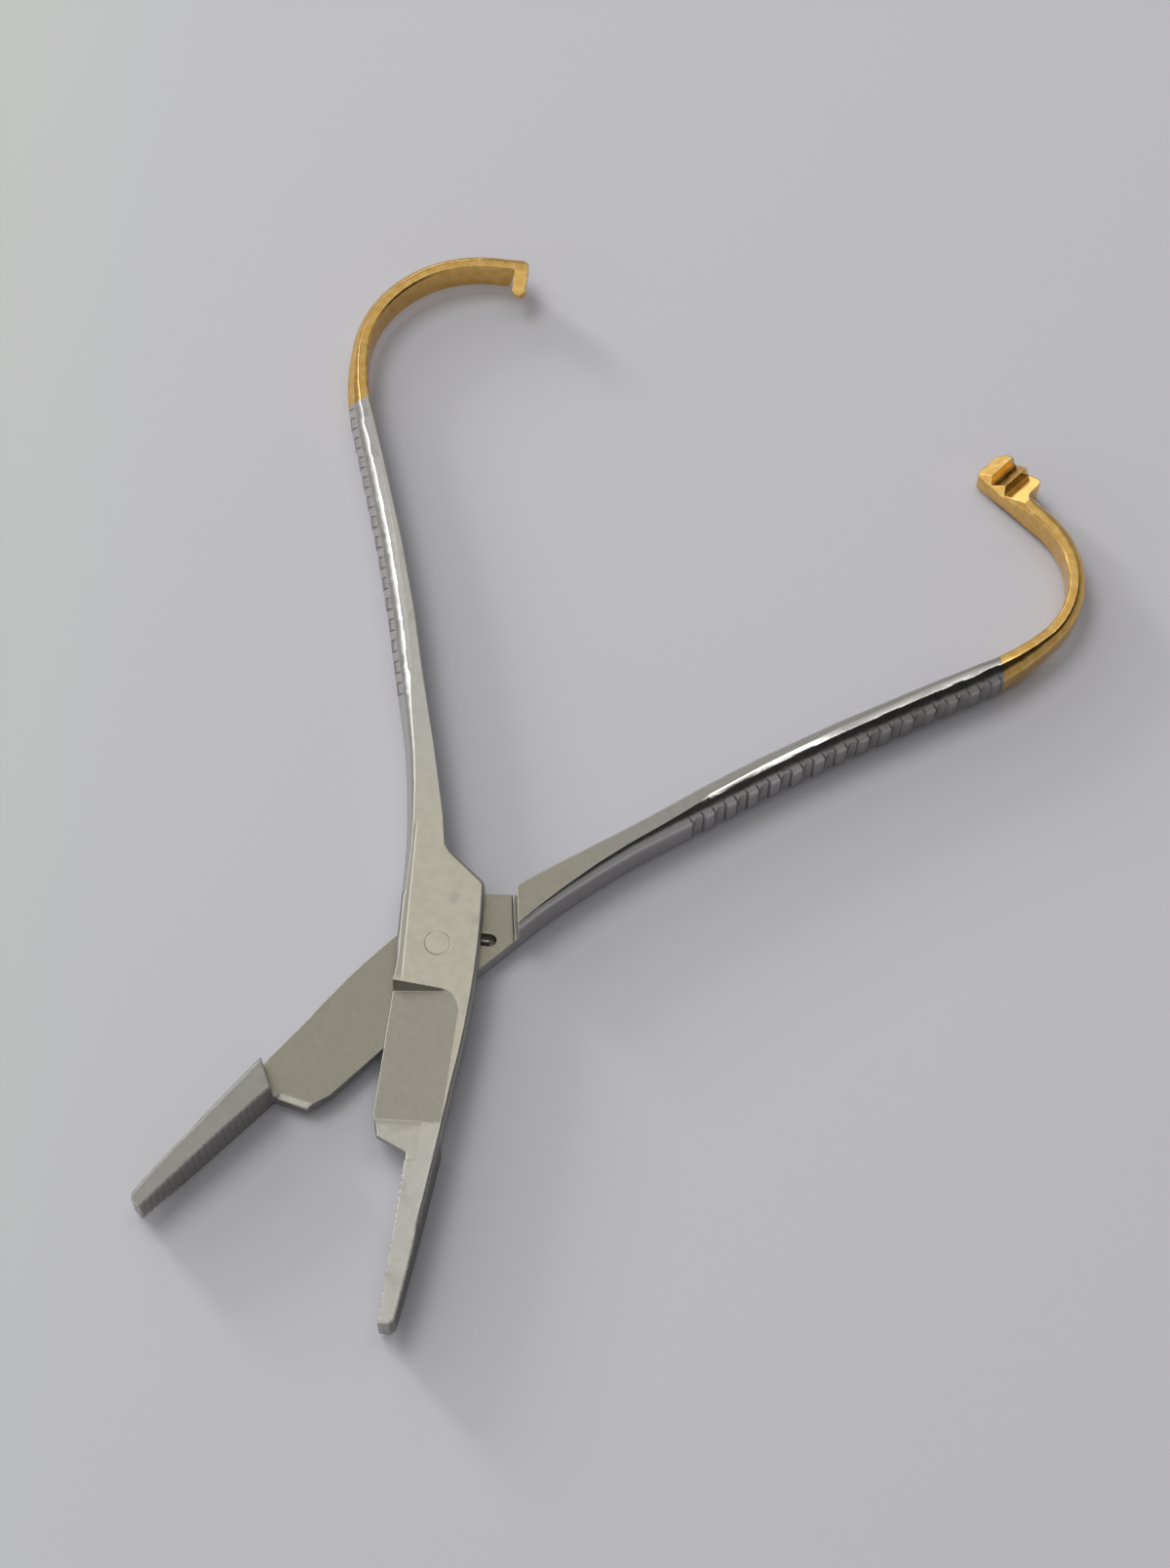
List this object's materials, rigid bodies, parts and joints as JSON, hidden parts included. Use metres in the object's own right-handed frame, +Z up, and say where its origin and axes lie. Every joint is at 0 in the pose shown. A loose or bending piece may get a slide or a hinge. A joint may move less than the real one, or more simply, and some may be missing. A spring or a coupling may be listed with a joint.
{
  "type": "surgical needle holder",
  "caption": "Open needle holder with hooked spring handles, gilded hook ends, grooved grips, thread-cutting blades and serrated jaws.",
  "frame": {"origin": "on the pivot axis, at the flat lower face of the joint that the part lies on", "axes": "+Z up along the pivot axis, +Y towards the handles halfway between them, +X towards the lower half's handle"},
  "size_m": [0.1001, 0.1359, 0.0052],
  "materials": {
    "lower_half": "satin ground stainless steel, polished gold plating on the hooked end",
    "upper_half": "satin ground stainless steel, polished gold plating on the hooked end",
    "rivet": "ground flush with the joint faces",
    "spring": "drawn spring wire"
  },
  "bodies": {
    "lower": {"lower_half": "lower_half", "pivot_rivet": "rivet", "return_spring": "spring"},
    "upper": {"upper_half": "upper_half"}
  },
  "joints": [
    {"name": "pivot", "type": "hinge", "parent": "lower", "child": "upper", "pos_m": [0, 0, 0.0026], "axis": [0, 0, 1], "range_deg": [-38.3, 0], "stiffness_Nm_per_rad": 0.085, "springref_deg": 17.19, "deforming": ["return_spring"]}
  ]
}
